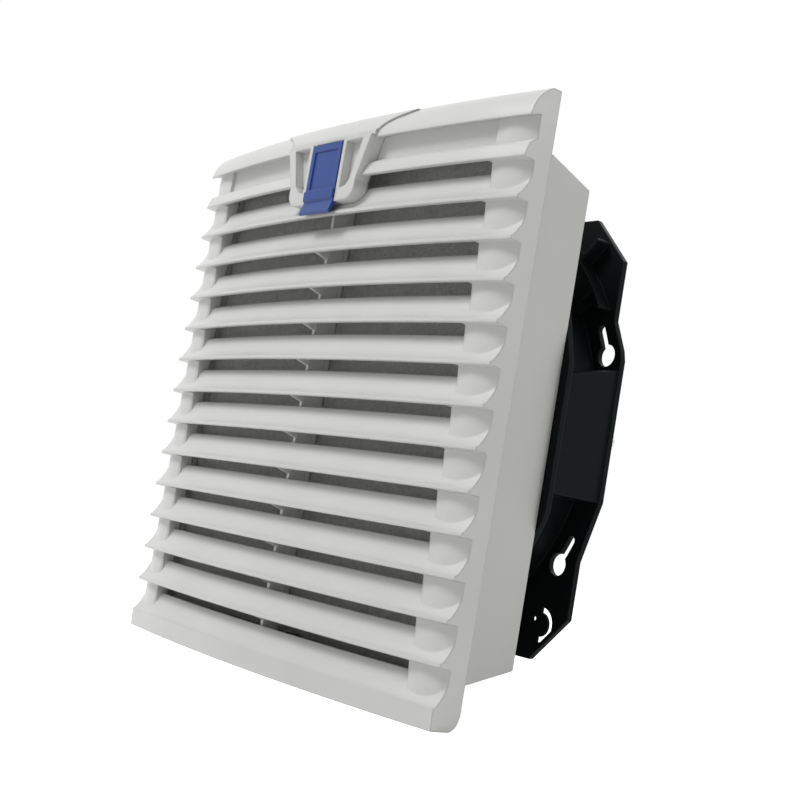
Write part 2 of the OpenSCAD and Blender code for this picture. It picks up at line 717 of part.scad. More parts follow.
module pan_screw(y_seat, shank) {
    rod(screw_r, y_seat - shank, y_seat + 0.5);
    translate([0, y_seat, 0]) rotate([-90, 0, 0]) difference() {
        cylinder(r = screw_r + 1.7, h = screw_head_t);
        for (a = [0, 90]) rotate([0, 0, a])
            translate([-2.2, -0.4, screw_head_t - 0.9]) cube([4.4, 0.8, 1]);
    }
}
module guard_screws() color([0.65, 0.66, 0.68]) on_fan_axis() four_ways()
    translate([foot_r, 0, 0]) pan_screw(fan_y1 + foot_t, foot_t + screw_grip);
module motor_screws() color([0.65, 0.66, 0.68]) on_fan_axis() four_ways()
    translate([motor_screw_r, 0, 0]) pan_screw(base_y1 + plate_t, plate_t + screw_grip);

// Motor: the base and its bearing post stand still, the bell turns round them

module motor_base() color([0.6, 0.61, 0.62]) on_fan_axis() difference() {
    turned() polygon([
        [bearing_out, post_y0], [post_r, post_y0], [post_r, base_y0], [base_r - 2, base_y0],
        [base_r, base_y0 + 2], [base_r, base_y1], [0, base_y1], [0, base_y1 - 2.5],
        [bearing_out, base_y1 - 2.5]]);
    four_ways() translate([motor_screw_r, 0, 0]) rod(screw_r + press, base_y0 + 0.8, base_y1 + 1);
    lead_place() translate([lead_r0, 0, 0]) rod(lead_r + 0.05, base_y0 - 1, base_y1 + 1);
}

slot_len = core_r - post_r - yoke_t - pole_tip;
module pole_plan() difference() {
    circle(r = core_r);
    circle(r = post_r + press);
    for (k = [0:pole_count - 1]) rotate(k * 360 / pole_count) {
        translate([post_r + yoke_t, -hank_w / 2]) square([slot_len, hank_w]);
        translate([core_r - pole_tip - 1, -mouth_w / 2]) square([pole_tip + 2, mouth_w]);
    }
}
module stator_core() color([0.4, 0.41, 0.43]) on_fan_axis() slab(core_y0, core_y1) pole_plan();

// Copper: one hank round each stator slot, and a ring of end turns at both faces
hank_r = [post_r + yoke_t + hank_play, core_r - pole_tip - hank_play];
module stator_windings() color([0.72, 0.42, 0.2]) on_fan_axis() {
    for (y = [core_y0 - coil_t, core_y1]) turned() translate([hank_r[0], y])
        square([hank_r[1] - hank_r[0], coil_t]);
    for (k = [0:pole_count - 1]) rotate([0, k * 360 / pole_count, 0])
        block([hank_r[0], core_y0 - 0.5, hank_play - hank_w / 2],
            [hank_r[1], core_y1 + 0.5, hank_w / 2 - hank_play]);
}

bearing_ys = [post_y0 + 0.5, base_y1 - 5.5 - bearing_w];
module motor_bearings() color([0.7, 0.71, 0.73]) on_fan_axis() for (y = bearing_ys)
    turned() translate([shaft_r + run, y]) square([bearing_out - shaft_r - run - press, bearing_w]);

module rotor_bell() color([0.28, 0.29, 0.3]) on_fan_axis() turned() polygon([
    [shaft_r + press, bell_y0], [bell_r - 3, bell_y0], [bell_r, bell_y0 + 3], [bell_r, bell_y1],
    [bell_r - bell_t, bell_y1], [bell_r - bell_t, bell_y0 + 3.5], [bell_r - 4, bell_y0 + bell_t],
    [shaft_r + 4, bell_y0 + bell_t], [shaft_r + 4, bell_y0 + 4], [shaft_r + press, bell_y0 + 4]]);

module rotor_cage() color([0.5, 0.51, 0.53]) on_fan_axis() turned()
    translate([cage_in, core_y0 - 0.5]) square([cage_t - press, core_y1 - core_y0 + 1]);

module rotor_shaft() color([0.75, 0.76, 0.78]) on_fan_axis() difference() {
    rod(shaft_r, bell_y0, clip_y + 2);
    clip_groove();
}
clip_y = bearing_ys[1] + bearing_w + 0.1;
module clip_groove() turned() translate([shaft_r - 0.5, clip_y]) square([1, 0.9]);
module shaft_clip() color([0.3, 0.3, 0.32]) on_fan_axis() difference() {
    turned() translate([shaft_r - 0.45, clip_y + 0.05]) square([2.2, 0.8]);
    block([-1.2, clip_y - 1, -9], [1.2, clip_y + 2, 0]);
}

// Impeller: blades that twist and sweep from hub to tip

blade_stations = 6;
blade_points = 6;
hub_chord = 31;
tip_chord = 58;
hub_pitch = 50;
tip_pitch = 23;
blade_camber = 0.07;
blade_sweep = 16;
function blend(a, b, t) = a + (b - a) * t;
// One point of a blade: t runs from hub to tip, u along the chord, side is +1 or -1
function blade_point(t, u, side) =
    let (r = blend(hub_r - 1, tip_r, t), c = blend(hub_chord, tip_chord, t),
        p = blend(hub_pitch, tip_pitch, sqrt(t)),
        h = 4 * blade_camber * c * (0.25 - u * u) + side * blade_t * (0.56 - abs(u)) / 1.1,
        s = u * c * cos(p) - h * sin(p), y = u * c * sin(p) + h * cos(p),
        a = s / r * 180 / PI + blade_sweep * t * t)
    [r * cos(a), y, r * sin(a)];
function blade_ring(t) = concat(
    [for (i = [0:blade_points]) blade_point(t, i / blade_points - 0.5, 1)],
    [for (i = [blade_points:-1:0]) blade_point(t, i / blade_points - 0.5, -1)]);
module blade() {
    n = 2 * (blade_points + 1);
    rings = [for (j = [0:blade_stations]) blade_ring(j / blade_stations)];
    sides = [for (j = [0:blade_stations - 1]) for (i = [0:n - 1]) each [
        [j * n + i, (j + 1) * n + i, j * n + (i + 1) % n],
        [j * n + (i + 1) % n, (j + 1) * n + i, (j + 1) * n + (i + 1) % n]]];
    caps = [for (i = [0:blade_points - 1]) each [
        [i, i + 1, n - 2 - i], [i, n - 2 - i, n - 1 - i],
        [blade_stations * n + i + 1, blade_stations * n + i, blade_stations * n + n - 2 - i],
        [blade_stations * n + i, blade_stations * n + n - 1 - i, blade_stations * n + n - 2 - i]]];
    polyhedron([for (ring = rings) each ring], concat(sides, caps));
}
module impeller() color([0.16, 0.17, 0.18]) on_fan_axis() {
    turned() translate([bell_r + hub_fit, hub_y0]) square([hub_t, hub_y1 - hub_y0]);
    for (k = [0:blade_count - 1]) rotate([0, k * 360 / blade_count, 0])
        translate([0, (hub_y0 + hub_y1) / 2 + 1, 0]) blade();
}

// Lead from the motor to the terminal box in the lower left corner

module box_place() rotate([0, -225, 0]) children();
module lead_place() box_place() translate([0, 0, lead_off]) children();
module motor_lead() color([0.1, 0.1, 0.11]) on_fan_axis() lead_place() {
    translate([lead_r0, 0, 0]) rod(lead_r, base_y0 + 1, lead_y - lead_bend);
    translate([lead_r0 + lead_bend, lead_y - lead_bend, 0]) rotate([0, 0, 90]) rotate_extrude(angle = 90)
        translate([lead_bend, 0]) circle(r = lead_r, $fn = 24);
    translate([0, lead_y, 0]) cross_rod(lead_r, lead_r0 + lead_bend, box_r0 + 1.8);
}

module terminal_box() color([0.12, 0.12, 0.13]) on_fan_axis() box_place() difference() {
    union() {
        difference() {
            block([box_r0, fan_y1, -box_half], [box_r1, fan_y1 + box_h, box_half]);
            block([box_r0 + box_wall, fan_y1 + box_floor, -box_half + box_wall],
                [box_r1 - box_wall, fan_y1 + box_h + 1, box_half - box_wall]);
        }
        translate([cover_screw_at[0], 0, cover_screw_at[1]]) rod(2.6, fan_y1 + 1, fan_y1 + box_h);
        translate([gland_at[0], gland_at[1], box_half - box_wall])
            cylinder(r = cable_r + 1.6, h = gland_len);
    }
    translate([cover_screw_at[0], 0, cover_screw_at[1]])
        rod(cover_screw_r + press, fan_y1 + 4, fan_y1 + 20);
    translate([gland_at[0], gland_at[1], box_half - box_wall - 1])
        cylinder(r = cable_r, h = gland_len + 2);
    translate([0, lead_y, lead_off]) cross_rod(lead_r + 0.05, box_r0 - 1, box_r0 + box_wall + 1);
}
module terminal_cover() color([0.12, 0.12, 0.13]) on_fan_axis() box_place() difference() {
    block([box_r0, fan_y1 + box_h, -box_half], [box_r1, fan_y1 + box_h + cover_t, box_half]);
    translate([cover_screw_at[0], 0, cover_screw_at[1]]) rod(cover_screw_r + 0.1, fan_y1, fan_y1 + 20);
}
module terminal_screws() color([0.7, 0.66, 0.4]) on_fan_axis() box_place() for (k = [0:2])
    translate([cover_screw_at[0] + 1.5, fan_y1 + box_floor, -3 + k * 5.5]) rotate([-90, 0, 0])
        difference() {
            cylinder(r = 1.9, h = 2.6);
            translate([-2, -0.3, 2]) cube([4, 0.6, 1]);
        }
module cover_screw() color([0.65, 0.66, 0.68]) on_fan_axis() box_place()
    translate([cover_screw_at[0], 0, cover_screw_at[1]]) {
        rod(cover_screw_r, fan_y1 + 5, fan_y1 + box_h + cover_t + 0.5);
        rod(cover_screw_r + 1, fan_y1 + box_h + cover_t, fan_y1 + box_h + cover_t + 1.2);
    }

housing_tub();
panel_gasket();
panel_clips();
filter_mat();
hinge_pins();
louvre_grille();
handle_frame();
latch_pin();
latch_tab();
fan_frame();
finger_guard();
guard_screws();
motor_base();
motor_screws();
stator_core();
stator_windings();
motor_bearings();
motor_lead();
terminal_box();
terminal_cover();
terminal_screws();
cover_screw();
rotor_bell();
rotor_cage();
rotor_shaft();
shaft_clip();
impeller();
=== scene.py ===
import bmesh
import bpy
from mathutils import Matrix, Vector


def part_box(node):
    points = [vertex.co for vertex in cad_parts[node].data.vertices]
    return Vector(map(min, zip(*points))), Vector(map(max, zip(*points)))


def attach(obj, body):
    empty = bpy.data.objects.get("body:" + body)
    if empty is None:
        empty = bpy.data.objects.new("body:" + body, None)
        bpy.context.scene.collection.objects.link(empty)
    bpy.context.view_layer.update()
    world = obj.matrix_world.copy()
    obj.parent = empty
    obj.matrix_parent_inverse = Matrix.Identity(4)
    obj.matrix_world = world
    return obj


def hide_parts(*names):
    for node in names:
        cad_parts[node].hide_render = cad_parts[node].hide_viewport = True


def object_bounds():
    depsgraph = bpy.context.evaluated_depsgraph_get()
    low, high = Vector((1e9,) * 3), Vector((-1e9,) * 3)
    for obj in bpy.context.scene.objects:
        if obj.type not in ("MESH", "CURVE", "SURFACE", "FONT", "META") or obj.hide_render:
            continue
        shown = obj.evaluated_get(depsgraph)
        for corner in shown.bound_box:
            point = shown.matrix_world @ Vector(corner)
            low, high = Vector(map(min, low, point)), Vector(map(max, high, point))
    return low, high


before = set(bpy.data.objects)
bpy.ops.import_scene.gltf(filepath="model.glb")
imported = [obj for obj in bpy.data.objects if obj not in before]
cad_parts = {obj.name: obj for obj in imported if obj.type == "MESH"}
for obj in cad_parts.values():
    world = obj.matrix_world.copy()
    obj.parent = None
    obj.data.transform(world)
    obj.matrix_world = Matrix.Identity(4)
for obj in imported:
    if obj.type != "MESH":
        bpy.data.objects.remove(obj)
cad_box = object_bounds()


# Housing tub: the injection-moulded box that fills the panel's cut-out and carries the mat,
# the hinge and the studs for the fan. Light grey ABS with the fine grain of its steel mould.

def put(tree, kind, settings=None, **values):
    made = tree.nodes.new(kind)
    for name, value in (settings or {}).items():
        setattr(made, name, value)
    for name, value in values.items():
        made.inputs[name.replace("_", " ")].default_value = value
    return made


def new_finish(name):
    finish = bpy.data.materials.new(name)
    finish.use_nodes = True
    tree = finish.node_tree
    tree.nodes.clear()
    shader = put(tree, "ShaderNodeBsdfPrincipled")
    out = put(tree, "ShaderNodeOutputMaterial")
    tree.links.new(shader.outputs["BSDF"], out.inputs["Surface"])
    place = put(tree, "ShaderNodeTexCoord")
    return finish, tree, shader, place.outputs["Object"]


def noise(tree, place, scale, detail=2.0, stretch=None):
    if stretch:
        turned = put(tree, "ShaderNodeMapping", Scale=stretch)
        tree.links.new(place, turned.inputs["Vector"])
        place = turned.outputs["Vector"]
    cloud = put(tree, "ShaderNodeTexNoise", Scale=scale, Detail=detail)
    tree.links.new(place, cloud.inputs["Vector"])
    return cloud.outputs["Fac"]


def spread(tree, value, low, high, start=0.3, end=0.7):
    ranged = put(tree, "ShaderNodeMapRange", To_Min=low, To_Max=high, From_Min=start, From_Max=end)
    tree.links.new(value, ranged.inputs["Value"])
    return ranged.outputs["Result"]


def mixed(tree, factor, dark, light):
    tone = put(tree, "ShaderNodeMix", {"data_type": "RGBA"})
    ends = [socket for socket in tone.inputs if socket.type == "RGBA"]
    for socket, colour in zip(ends, (dark, light)):
        if isinstance(colour, tuple):
            socket.default_value = (*colour, 1)
        else:
            tree.links.new(colour, socket)
    tree.links.new(factor, tone.inputs["Factor"])
    return [socket for socket in tone.outputs if socket.type == "RGBA"][0]


def shaded(colour, share):
    return tuple(min(1, share * c) for c in colour)


def dulled(tree, shader, pattern, low, high):
    tree.links.new(spread(tree, pattern, low, high), shader.inputs["Roughness"])


def bumped(tree, shader, height, strength, distance):
    bump = put(tree, "ShaderNodeBump", Strength=strength, Distance=distance)
    tree.links.new(height, bump.inputs["Height"])
    tree.links.new(bump.outputs["Normal"], shader.inputs["Normal"])
    return bump


def moulded(name, colour, roughness, grain=0.25, edge=1.08, edge_radius=0.0005, gloss=0.5):
    """Moulded plastic: a faint cloud in the colour, mould grain, and a painted highlight that pales
    the colour along the edges.
    """
    finish, tree, shader, place = new_finish(name)
    shader.inputs["Specular IOR Level"].default_value = gloss
    cloud = spread(tree, noise(tree, place, 16, 3), 0, 1)
    body = mixed(tree, cloud, shaded(colour, 0.965), shaded(colour, 1.03))
    rounded = put(tree, "ShaderNodeBevel", {"samples": 4}, Radius=edge_radius)
    facing = put(tree, "ShaderNodeNewGeometry")
    bend = put(tree, "ShaderNodeVectorMath", {"operation": "DOT_PRODUCT"})
    tree.links.new(rounded.outputs["Normal"], bend.inputs[0])
    tree.links.new(facing.outputs["Normal"], bend.inputs[1])
    # Painted highlight: where the rounded normal turns away from the true one, the colour is
    # lightened by the factor edge.
    edge_highlight = spread(tree, bend.outputs["Value"], 1, 0, 0.7, 0.99)
    tone = mixed(tree, edge_highlight, body, shaded(colour, edge))
    tree.links.new(tone, shader.inputs["Base Color"])
    dulled(tree, shader, noise(tree, place, 70, 3), roughness - 0.05, roughness + 0.05)
    bump = bumped(tree, shader, noise(tree, place, 1700, 2), grain, 0.0001)
    tree.links.new(rounded.outputs["Normal"], bump.inputs["Normal"])
    return finish


def dress(node, finish):
    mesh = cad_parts[node].data
    mesh.materials.clear()
    mesh.materials.append(finish)


tub_grey = (0.585, 0.59, 0.565)
# Its edges get a painted highlight, a little paler than the grey.
tub_plastic = moulded("tub_plastic", tub_grey, 0.46)
weld = 0.000002


def smooth_moulding(node, body, finish, crease, reshape=None):
    """A copy of a node's mesh whose gentle bends, such as a hollow louvre, are shaded as one skin."""
    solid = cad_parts[node].data
    skin = bmesh.new()
    corners = [skin.verts.new(point.co) for point in solid.vertices]
    for side in solid.polygons:
        skin.faces.new([corners[k] for k in side.vertices])
    bmesh.ops.remove_doubles(skin, verts=skin.verts, dist=weld)
    if reshape:
        reshape(skin)
        bmesh.ops.remove_doubles(skin, verts=skin.verts, dist=weld)
    for face in skin.faces:
        face.smooth = True
    for edge in skin.edges:
        edge.smooth = len(edge.link_faces) == 2 and edge.calc_face_angle() < crease
    mesh = bpy.data.meshes.new(node + "_skin")
    skin.to_mesh(mesh)
    skin.free()
    mesh.materials.append(finish)
    piece = bpy.data.objects.new(node + "_skin", mesh)
    bpy.context.scene.collection.objects.link(piece)
    even = piece.modifiers.new("even shading", "WEIGHTED_NORMAL")
    even.keep_sharp = True
    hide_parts(node)
    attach(piece, body)


tub_axis_z = -0.0015
collar_half, collar_end = 0.1115, 0.016
corner_round, corner_sharp = 0.003, 0.001
taper_start, taper_start_half = 0.0155, 0.1103
taper_in, taper_run = 0.0065, 0.0297
seen_start, seen_start_half = 0.0135, 0.11079
exact, close = 0.00001, 0.00003


def taper_half(y):
    return taper_start_half - (y - taper_start) * taper_in / taper_run


def on_plan(across, up, half):
    """Whether a point lies on the rounded square of the collar or the tapered wall."""
    past = (across - half + corner_round, up - half + corner_round)
    if min(past) > -exact:
        return abs((past[0] ** 2 + past[1] ** 2) ** 0.5 - corner_round) < close
    return abs(max(across, up) - half) < close


def square_tub(skin):
    """Squares the corners, and runs the tapered walls on to just behind the panel clips."""
    for point in [v.co for v in skin.verts]:
        across, up = abs(point.x), abs(point.z - tub_axis_z)
        halves = [collar_half] * (point.y < collar_end + exact)
        halves += [taper_half(point.y)] * (point.y > collar_end - exact)
        for half in [h for h in halves if on_plan(across, up, h)]:
            grow = 1
            if abs(point.y - collar_end) < exact:
                point.y = seen_start
                grow = 1 if half == collar_half else seen_start_half / half
            past = (across - half + corner_round, up - half + corner_round)
            if min(past) > -exact:
                shrink = corner_sharp / corner_round
                across, up = (half - corner_sharp + shrink * p for p in past)
            point.x = grow * across * (1 if point.x > 0 else -1)
            point.z = tub_axis_z + grow * up * (1 if point.z > tub_axis_z else -1)
            break


smooth_moulding("housing_tub", "housing", tub_plastic, 0.42, square_tub)


# Panel gasket: a die-cut frame of closed-cell foam, stuck to the tub's flange and pressed
# against the cabinet wall. Its cut edges are slightly rounded.

gasket_low, gasket_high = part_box("panel_gasket")
gasket_window = ((-0.116, -0.1135), (0.116, 0.1105))


def frame_prism(name, outer_low, outer_high, inner_low, inner_high, y0, y1):
    made = bmesh.new()
    rings = []
    for y in (y0, y1):
        for low, high in ((outer_low, outer_high), (inner_low, inner_high)):
            corners = ((low[0], low[1]), (high[0], low[1]), (high[0], high[1]), (low[0], high[1]))
            rings.append([made.verts.new((x, y, z)) for x, z in corners])
    for a, b in ((0, 1), (1, 3), (3, 2), (2, 0)):
        for k in range(4):
            n = (k + 1) % 4
            made.faces.new((rings[a][k], rings[a][n], rings[b][n], rings[b][k]))
    bmesh.ops.recalc_face_normals(made, faces=made.faces)
    mesh = bpy.data.meshes.new(name)
    made.to_mesh(mesh)
    made.free()
    piece = bpy.data.objects.new(name, mesh)
    bpy.context.scene.collection.objects.link(piece)
    return piece


def rounded_edges(piece, width, segments=3):
    bevel = piece.modifiers.new("rounded edges", "BEVEL")
    bevel.width = width
    bevel.segments = segments
    bevel.limit_method = "ANGLE"
    bevel.harden_normals = True


def tinted(tree, shader, pattern, dark, light, start=0.3, end=0.7):
    tone = mixed(tree, spread(tree, pattern, 0, 1, start, end), dark, light)
    tree.links.new(tone, shader.inputs["Base Color"])


def foam():
    finish, tree, shader, place = new_finish("foam")
    cells = put(tree, "ShaderNodeTexVoronoi", Scale=1400)
    tree.links.new(place, cells.inputs["Vector"])
    depth = cells.outputs["Distance"]
    tinted(tree, shader, depth, (0.03, 0.03, 0.032), (0.075, 0.075, 0.08), 0.1, 0.6)
    bumped(tree, shader, depth, 0.6, 0.0003)
    shader.inputs["Roughness"].default_value = 0.9
    return finish


gasket = frame_prism("gasket_foam", (gasket_low.x, gasket_low.z), (gasket_high.x, gasket_high.z),
                     *gasket_window, gasket_low.y, gasket_high.y)
rounded_edges(gasket, 0.0006)
gasket.data.materials.append(foam())
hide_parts("panel_gasket")
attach(gasket, "housing")


# Panel clips, pins and screws: bright zinc-plated steel. The clips are sprung into the sides of
# the collar, the hinge pins pressed into the tub's ears, the latch pin into the handle, and the
# screws hold the guard, the motor and the terminal cover.

def plated_steel(name, colour, roughness, scratch=(1, 1, 30)):
    finish, tree, shader, place = new_finish(name)
    lines = noise(tree, place, 260, 4, scratch)
    tinted(tree, shader, lines, shaded(colour, 0.8), colour)
    dulled(tree, shader, lines, roughness - 0.08, roughness + 0.1)
    bumped(tree, shader, lines, 0.08, 0.0001)
    shader.inputs["Metallic"].default_value = 1
    return finish


zinc = plated_steel("zinc_plate", (0.62, 0.63, 0.64), 0.34)
for node in ("panel_clips", "hinge_pins", "latch_pin",
             "guard_screws", "motor_screws", "cover_screw"):
    dress(node, zinc)


# Filter mat: a thick non-woven mat of grey chopped fibre that lies in the collar on the tub's
# grid. Loose fibres stand up from its rough faces.

mat_low, mat_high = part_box("filter_mat")


def new_tree(name, inputs):
    """A Geometry Nodes tree with named inputs, its linking call and its input sockets."""
    tree = bpy.data.node_groups.new(name, "GeometryNodeTree")
    tree.interface.new_socket("Geometry", in_out="OUTPUT", socket_type="NodeSocketGeometry")
    for label, kind in inputs:
        tree.interface.new_socket(label, in_out="INPUT", socket_type="NodeSocket" + kind)
    return tree, tree.links.new, put(tree, "NodeGroupInput").outputs


def end_tree(tree, shape, finish):
    whole = put(tree, "GeometryNodeRealizeInstances")
    coloured = put(tree, "GeometryNodeSetMaterial")
    tree.links.new(shape, whole.inputs["Geometry"])
    tree.links.new(whole.outputs["Geometry"], coloured.inputs["Geometry"])
    tree.links.new(finish, coloured.inputs["Material"])
    tree.links.new(coloured.outputs["Geometry"], put(tree, "NodeGroupOutput").inputs["Geometry"])


def fibre_mat_tree():
    tree, link, given = new_tree("fibre mat", (
        ("Size", "Vector"), ("Middle", "Vector"), ("Roughness", "Float"),
        ("Fibres per m2", "Float"), ("Fibre curl", "Float"), ("Fibre radius", "Float"),
        ("Finish", "Material")))
    block = put(tree, "GeometryNodeMeshCube", Vertices_X=96, Vertices_Y=8, Vertices_Z=96)
    link(given["Size"], block.inputs["Size"])
    moved = put(tree, "GeometryNodeTransform")
    link(block.outputs["Mesh"], moved.inputs["Geometry"])
    link(given["Middle"], moved.inputs["Translation"])
    cloud = put(tree, "ShaderNodeTexNoise", Scale=150, Detail=3)
    centred = put(tree, "ShaderNodeMath", {"operation": "SUBTRACT"})
    centred.inputs[1].default_value = 0.62
    link(cloud.outputs["Fac"], centred.inputs[0])
    lift = put(tree, "ShaderNodeMath", {"operation": "MULTIPLY"})
    link(centred.outputs[0], lift.inputs[0])
    link(given["Roughness"], lift.inputs[1])
    outward = put(tree, "ShaderNodeVectorMath", {"operation": "SCALE"})
    link(put(tree, "GeometryNodeInputNormal").outputs["Normal"], outward.inputs[0])
    link(lift.outputs[0], outward.inputs["Scale"])
    rough = put(tree, "GeometryNodeSetPosition")
    link(moved.outputs["Geometry"], rough.inputs["Geometry"])
    link(outward.outputs[0], rough.inputs["Offset"])
    points = put(tree, "GeometryNodeDistributePointsOnFaces", Seed=7)
    link(rough.outputs["Geometry"], points.inputs["Mesh"])
    link(given["Fibres per m2"], points.inputs["Density"])
    curl = put(tree, "GeometryNodeCurveArc", Resolution=6, Sweep_Angle=1.9)
    link(given["Fibre curl"], curl.inputs["Radius"])
    section = put(tree, "GeometryNodeCurvePrimitiveCircle", Resolution=3)
    link(given["Fibre radius"], section.inputs["Radius"])
    fibre = put(tree, "GeometryNodeCurveToMesh")
    link(curl.outputs["Curve"], fibre.inputs["Curve"])
    link(section.outputs["Curve"], fibre.inputs["Profile Curve"])
    spin = put(tree, "FunctionNodeRandomValue", {"data_type": "FLOAT_VECTOR"},
               Min=(-0.35, -0.35, -3.14), Max=(0.35, 0.35, 3.14), Seed=3)
    turn = put(tree, "FunctionNodeRotateRotation", {"rotation_space": "LOCAL"})
    link(points.outputs["Rotation"], turn.inputs["Rotation"])
    link(spin.outputs["Value"], turn.inputs["Rotate By"])
    strands = put(tree, "GeometryNodeInstanceOnPoints")
    link(points.outputs["Points"], strands.inputs["Points"])
    link(fibre.outputs["Mesh"], strands.inputs["Instance"])
    link(turn.outputs["Rotation"], strands.inputs["Rotation"])
    joined = put(tree, "GeometryNodeJoinGeometry")
    link(rough.outputs["Geometry"], joined.inputs["Geometry"])
    link(strands.outputs["Instances"], joined.inputs["Geometry"])
    end_tree(tree, joined.outputs["Geometry"], given["Finish"])
    return tree


def grown(name, tree, **sizes):
    """A plain mesh object made by a Geometry Nodes tree."""
    seed = bpy.data.objects.new(name + "_seed", bpy.data.meshes.new(name + "_seed"))
    bpy.context.scene.collection.objects.link(seed)
    modifier = seed.modifiers.new("grow", "NODES")
    modifier.node_group = tree
    for item in tree.interface.items_tree:
        if item.in_out == "INPUT":
            modifier[item.identifier] = sizes[item.name.lower().replace(" ", "_")]
    bpy.context.view_layer.update()
    ready = seed.evaluated_get(bpy.context.evaluated_depsgraph_get())
    mesh = bpy.data.meshes.new_from_object(ready)
    seed.modifiers.remove(modifier)
    bpy.data.objects.remove(seed)
    mesh.name = name
    piece = bpy.data.objects.new(name, mesh)
    bpy.context.scene.collection.objects.link(piece)
    return piece


def fibre_wool():
    finish, tree, shader, place = new_finish("mat_fibre")
    both = put(tree, "ShaderNodeMath", {"operation": "MAXIMUM"})
    for k, stretch in enumerate(((1, 3, 0.35), (0.35, 3, 1))):
        tree.links.new(noise(tree, place, 900, 4, stretch), both.inputs[k])
    strands = both.outputs[0]
    tinted(tree, shader, strands, (0.3, 0.305, 0.29), (0.41, 0.415, 0.4), 0.42, 0.75)
    bumped(tree, shader, strands, 0.7, 0.0005)
    shader.inputs["Roughness"].default_value = 0.95
    shader.inputs["Sheen Weight"].default_value = 0.2
    return finish


mat = grown("filter_mat_wool", fibre_mat_tree(),
            size=mat_high - mat_low, middle=(mat_high + mat_low) / 2, roughness=0.0022,
            fibres_per_m2=24000, fibre_curl=0.004, fibre_radius=0.00007, finish=fibre_wool())
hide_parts("filter_mat")
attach(mat, "housing")


# Louvre grille: one large ABS moulding, the front that is seen on the cabinet. A satin light
# grey, a touch paler than the tub, with soft edges on every louvre.

front_grey = (0.64, 0.645, 0.625)
# A faint painted highlight pales the edges of the louvres.
front_plastic = moulded("grille_plastic", front_grey, 0.34, grain=0.14, edge=1.04,
                        edge_radius=0.001)

half_front = 0.1275
bow = 0.0087
lip_depth = 0.0139
bow_radius = (half_front ** 2 + bow ** 2) / (2 * bow)
bow_centre_y = bow_radius - lip_depth - bow
top_lip = 0.013
lip_pitch = 0.234 / 14
first_hollow, last_hollow = 2, 14
slope_height = lip_pitch - 0.007
slope_run = 0.0056
slope_dip = 0.003
slope_cuts = 6
lip_blunt = 0.0007
gap_end = 0.107
web_width, web_depth, web_radius = 0.0155, 0.0128, 0.029
bar_drop, bar_slope, bar_undercut = 0.0008, 0.0005, 0.0018
rib_half = 0.0015


def lip_height(louvre):
    return half_front - top_lip - louvre * lip_pitch


def front_depth(point):
    """How far forward a point is, measured square to the bowed front."""
    return ((point.x ** 2 + (point.y - bow_centre_y) ** 2) ** 0.5) - bow_radius + lip_depth


def on_slope(point, louvre):
    """Whether a point lies on a louvre's face, flat as in the solid."""
    up = (point.z - lip_height(louvre)) / slope_height
    off = front_depth(point) - lip_depth + up * slope_run
    return -0.001 < up < 1.001 and -close < off < 0.00034


def on_web(point):
    """Whether a point lies on the rounded web that ends the air gaps."""
    past = max(abs(point.x) - (half_front - web_width), 0)
    front = web_radius - web_depth - (web_radius ** 2 - past ** 2) ** 0.5
    return abs(point.x) > gap_end + 0.00002 and abs(point.y - front) < 0.00002


def hollow_louvres(skin):
    """Hollows the face of each louvre, blunts its lip, undercuts the top bar and thins the rib."""
    for louvre in range(first_hollow, last_hollow + 1):
        foot = lip_height(louvre)
        for cut in range(1, slope_cuts):
            face_now = [f for f in skin.faces if all(on_slope(v.co, louvre) for v in f.verts)]
            edges = dict.fromkeys(e for f in face_now for e in f.edges)
            points = dict.fromkeys(v for f in face_now for v in f.verts)
            bmesh.ops.bisect_plane(skin, geom=[*face_now, *edges, *points], dist=0.000005,
                                   plane_co=(0, 0, foot + cut / slope_cuts * slope_height),
                                   plane_no=(0, 0, 1))
        for point in [v.co for v in skin.verts if on_slope(v.co, louvre)]:
            if on_web(point):
                back = lip_depth - front_depth(point)
                run = slope_run + slope_dip
                root = max(run ** 2 - 4 * slope_dip * back, 0) ** 0.5
                up = (run - root) / (2 * slope_dip)
                point.z = foot + min(max(up, 0), 1) * slope_height
                continue
            up = min(max((point.z - foot) / slope_height, 0), 1)
            if up < 0.002:
                point.z += lip_blunt
                continue
            radius = bow_radius - up * slope_run - slope_dip * up * (1 - up)
            point.y = bow_centre_y - (radius ** 2 - point.x ** 2) ** 0.5
    bar_lip = lip_height(0) - bar_drop
    for point in [v.co for v in skin.verts if abs(v.co.z - lip_height(0)) < 0.002]:
        back = (lip_depth - front_depth(point)) / slope_run
        if -0.001 < back < 1.02 and abs(point.z - bar_lip + bar_slope * back) < close:
            point.z = bar_lip + bar_undercut * back
    for point in [v.co for v in skin.verts if abs(abs(v.co.x) - rib_half) < exact]:
        point.x *= 2 / 3


smooth_moulding("louvre_grille", "grille", front_plastic, 0.42, hollow_louvres)


# Middle rib and its gussets: a web moulded behind the louvres that keeps the mat back, and a
# thinner one under each lip, which ties the lip to it.

def gusset_plate(outline, thickness):
    plate = bmesh.new()
    sides = [[plate.verts.new((x, y, z)) for y, z in outline]
             for x in (-thickness / 2, thickness / 2)]
    plate.faces.new(sides[0])
    plate.faces.new(sides[1])
    for k in range(len(outline)):
        n = (k + 1) % len(outline)
        plate.faces.new((sides[0][k], sides[0][n], sides[1][n], sides[1][k]))
    bmesh.ops.recalc_face_normals(plate, faces=plate.faces)
    mesh = bpy.data.meshes.new("gusset_plate")
    plate.to_mesh(mesh)
    plate.free()
    return bpy.data.objects.new("gusset_plate", mesh)


